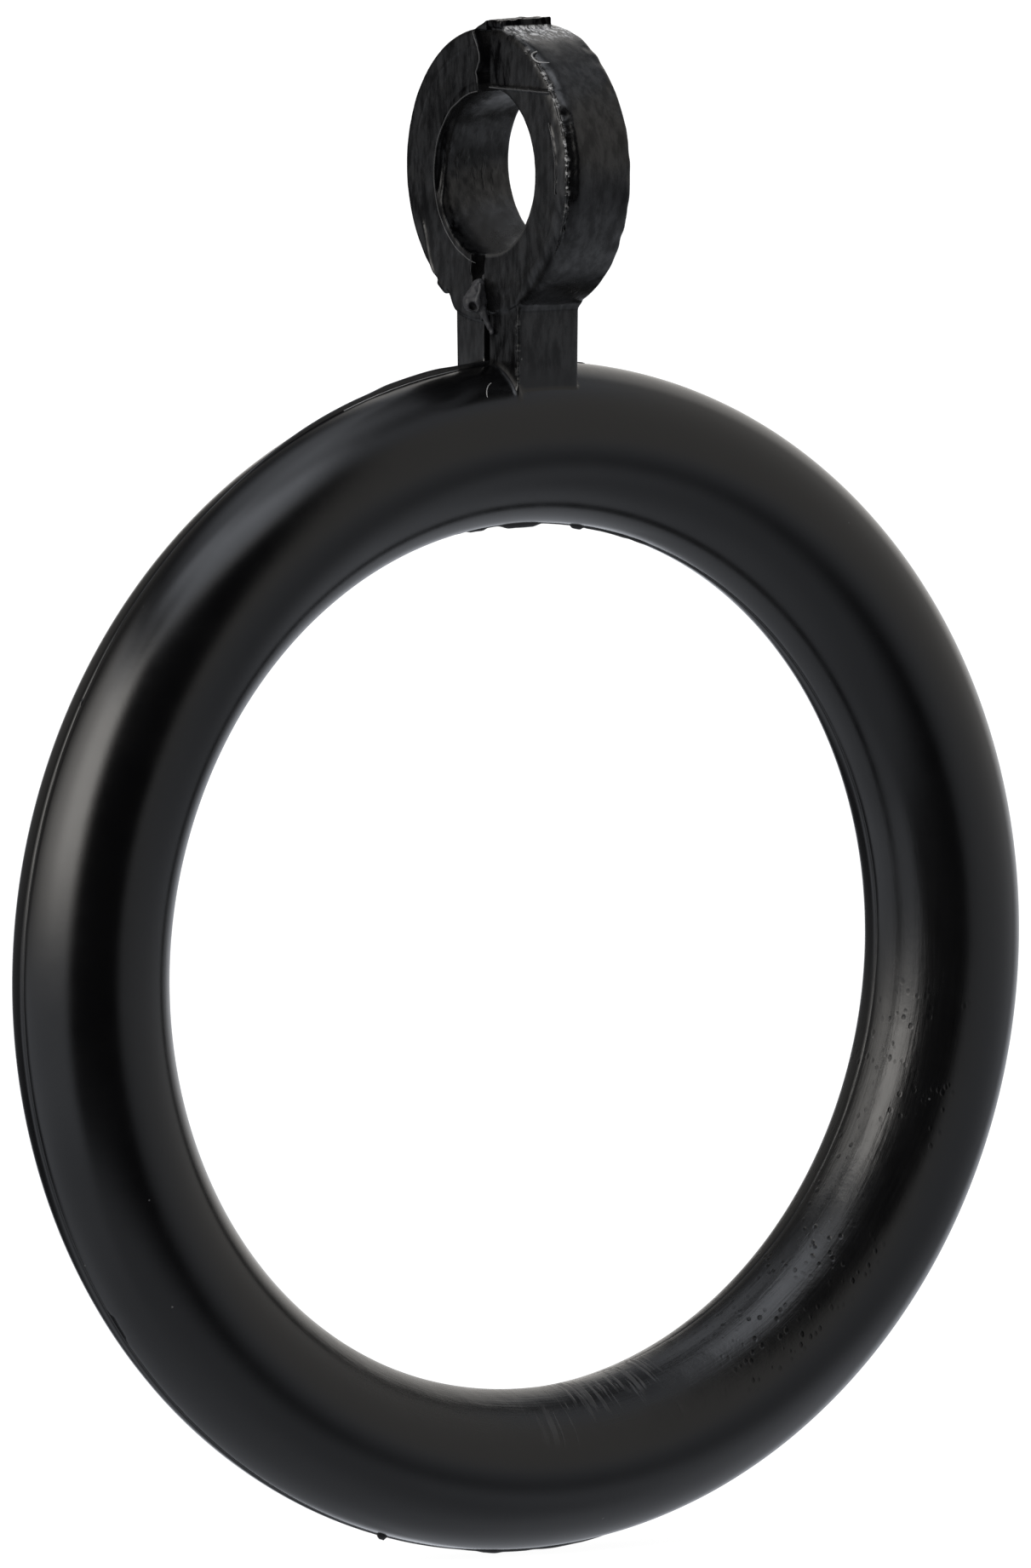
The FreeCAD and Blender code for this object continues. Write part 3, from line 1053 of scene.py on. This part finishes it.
def make_world():
    """Soft studio panels for light and reflections, and plain white behind the object."""
    world = bpy.data.worlds.new("studio")
    bpy.context.scene.world = world
    world.use_nodes = True
    n = Nodes(world.node_tree)
    ray = n.add("ShaderNodeTexCoord").outputs["Generated"]
    x, y, z = n.split(ray)
    back = face_direction(CAMERA_AZIMUTH, 0.0)
    right = Vector((0, 0, 1)).cross(back)
    ahead = n.math("MULTIPLY_ADD", x, back.x, n.math("MULTIPLY", y, back.y))
    across = n.math("MULTIPLY_ADD", x, right.x, n.math("MULTIPLY", y, right.y))
    azimuth = n.math("DEGREES", n.math("ARCTAN2", across, ahead))
    elevation = n.math("DEGREES", n.math("ARCSINE", z))
    parts = []
    for _, left, right_end, low, high, blur_l, blur_r, blur_b, blur_t, level in PANELS:
        wide = n.between(azimuth, left, right_end, blur_l, blur_r)
        tall = n.between(elevation, low, high, blur_b, blur_t)
        parts.append(n.math("MULTIPLY", n.math("MULTIPLY", wide, tall), level))
    tint = n.add("ShaderNodeMix", data_type="RGBA")
    warm = n.math("MULTIPLY", n.ease(elevation, -12.0, 10.0), n.ease(elevation, 54.0, 38.0))
    n.join(warm, tint.inputs[0])
    n.join(COOL_LIGHT, tint.inputs[6])
    n.join(WARM_LIGHT, tint.inputs[7])
    studio = n.add("ShaderNodeBackground")
    n.join(tint.outputs[2], studio.inputs["Color"])
    n.join(n.total(parts), studio.inputs["Strength"])
    white = n.add("ShaderNodeBackground")
    white.inputs["Strength"].default_value = 1.0
    white.inputs["Color"].default_value = (1, 1, 1, 1)
    mix = n.add("ShaderNodeMixShader")
    n.join(n.add("ShaderNodeLightPath").outputs["Is Camera Ray"], mix.inputs[0])
    n.join(studio.outputs[0], mix.inputs[1])
    n.join(white.outputs[0], mix.inputs[2])
    output = n.add("ShaderNodeOutputWorld")
    n.join(mix.outputs[0], output.inputs["Surface"])


def make_floor():
    """A pale floor just under the flash at the ring's lowest point."""
    signs = ((-1, -1), (1, -1), (1, 1), (-1, 1))
    corners = [(FLOOR_HALF * x, FLOOR_HALF * y, FLOOR_Z - FLOOR_DROP) for x, y in signs]
    floor = make_object("floor", corners, [(0, 1, 2, 3)])
    material = bpy.data.materials.new("floor_white")
    material.use_nodes = True
    shader = material.node_tree.nodes["Principled BSDF"]
    shader.inputs["Base Color"].default_value = (0.15, 0.15, 0.15, 1)
    shader.inputs["Roughness"].default_value = 0.9
    shader.inputs["Specular IOR Level"].default_value = 0.0
    shader.inputs["Emission Color"].default_value = (1, 1, 1, 1)
    shader.inputs["Emission Strength"].default_value = 0.97
    floor.data.materials.append(material)
    floor.visible_glossy = False


# ---------------------------------------------------------------- the object

def finish_piece(piece, material, node):
    """Gives a piece its finish, hangs it under the root body, and hides the CAD node that it
    stands for.
    """
    piece.data.materials.clear()
    piece.data.materials.append(material)
    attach(piece, "root")
    if node:
        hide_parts(node)


def make_ring(gloss, dull, drip):
    """Every visible piece of the ring."""
    front = moulded_half("front_moulding", FRONT)
    back = moulded_half("back_moulding", BACK)
    finish_piece(front, gloss, "front_half")
    finish_piece(back, gloss, "back_half")
    outer = seam_bead("outer_weld_flash", OUTER_RADIUS, -1, outer_height, seam_wander)
    inner = seam_bead("inner_weld_flash", INNER_RADIUS, 1, inner_height, seam_wander)
    finish_piece(outer, dull, "outer_weld_bead")
    finish_piece(inner, dull, "inner_weld_bead")
    low = (-2.7, -1.0, 25.5)
    high = (1.5, 1.6, 31.2)
    stem = net_object("stem_weld_drip", stem_weld_field, low, high, 0.05)
    low = (-1.6, -0.6, 38.2)
    high = (1.6, 0.6, 40.8)
    top = net_object("eyelet_top_weld", top_weld_field, low, high, 0.06)
    finish_piece(stem, drip, "stem_weld_bead")
    finish_piece(top, dull, "eyelet_top_weld_bead")


def lip_points(kind):
    """The wavering course of one thin raised lip on the -X end face."""
    points = []
    for t in np.linspace(0.0, 1.0, 36):
        wave = 0.035 * float(noise(181, 0.05, np.array([t]))[0])
        jag = 0.02 * float(noise(183, 0.02, np.array([t]))[0])
        if kind == "slot":
            z = 38.3 + 2.25 * t
            edge = float(half_edge(BACK, SLOT_MOUTH_X, np.array([z]))[0])
            points.append((NEAR_FACE_BACK - 0.06, edge + 0.02 + 0.5 * wave + jag, z))
        elif kind == "chord":
            z = EYELET_Z + CHORD_UP - 0.02 + 0.5 * wave
            points.append((NEAR_FACE_FRONT - 0.08, -0.3 - 4.7 * t, z))
        elif kind == "mouth":
            turn = math.radians(84 - 166 * t)
            reach = MOUTH_RADIUS + 0.03 + 1.2 * wave + jag
            y = MOUTH_Y + reach * math.cos(turn)
            points.append((NEAR_FACE_BACK, y, EYELET_Z + MOUTH_UP + reach * math.sin(turn)))
        else:
            turn = math.radians(-8 + 34 * t)
            reach = SCORE_RADIUS + wave + jag
            z = EYELET_Z + reach * math.sin(turn)
            points.append((NEAR_FACE_FRONT - 0.06, -reach * math.cos(turn), z))
    return points


def make_lips(scuffed):
    """Thin raised lips at the slot, the chord and the bore's mouth, and a scored line, in a paler
    plastic than the ring: partly scuffing, and along the three lips a painted highlight.
    """
    for kind, size in (("slot", 0.034), ("chord", 0.026), ("mouth", 0.03), ("score", 0.024)):
        lip = whisker(lip_points(kind), size)
        lip.name = kind + "_lip"
        finish_piece(lip, scuffed, None)


def make_whiskers(torn):
    """Slivers: one curled on the eyelet and one at the stem's foot; and a pale strand along the
    fin's foot that is a painted highlight on the ring's shoulder.
    """
    sliver = whisker([(-1.35, -3.3, 39.85), (-1.6, -3.3, 39.8), (-1.78, -3.55, 39.68),
                      (-1.8, -3.85, 39.5), (-1.65, -4.05, 39.42), (-1.3, -4.2, 39.42)], 0.035)
    sliver.name = "flash_sliver"
    finish_piece(sliver, torn, None)
    hair = whisker([(-2.7, -1.75, 25.35), (-2.95, -1.92, 25.3), (-3.15, -2.08, 25.1),
                    (-3.25, -2.22, 24.85), (-3.22, -2.32, 24.65)], 0.02)
    hair.name = "foot_sliver"
    finish_piece(hair, torn, None)
    # Painted highlight: a pale strand along the fin's foot stands in for the highlight on the
    # ring's shoulder.
    foot = []
    reach = OUTER_RADIUS - 0.01
    for degrees in np.linspace(111.0, 96.5, 16):
        turn = math.radians(degrees)
        foot.append((reach * math.cos(turn), -0.13, reach * math.sin(turn)))
    strand = whisker(foot, 0.03)
    strand.name = "fin_painted_highlight"
    finish_piece(strand, torn, None)


make_camera()
make_world()
make_floor()
ring_gloss = plastic("black_plastic_gloss", (0.0012, 0.0012, 0.0014), 0.2, 1.0)
weld_dull = plastic("black_plastic_weld", (0.004, 0.004, 0.0045), 0.30, 0.0)
drip_dull = plastic("black_plastic_drip", (0.02, 0.02, 0.022), 0.45, 0.0)
make_ring(ring_gloss, weld_dull, drip_dull)
# The lips' plastic is paler than the ring's: partly scuffing, partly a painted highlight along the
# lips.
make_lips(plastic("black_plastic_scuffed_and_painted_highlight", (0.035, 0.035, 0.036), 0.4, 0.0))
# The torn plastic is pale: real torn plastic on the two slivers, and a painted highlight on the
# strand along the fin's foot.
make_whiskers(plastic("black_plastic_torn_and_painted_highlight", (0.22, 0.22, 0.22), 0.45, 0.0))
bpy.context.scene.view_settings.view_transform = "Standard"
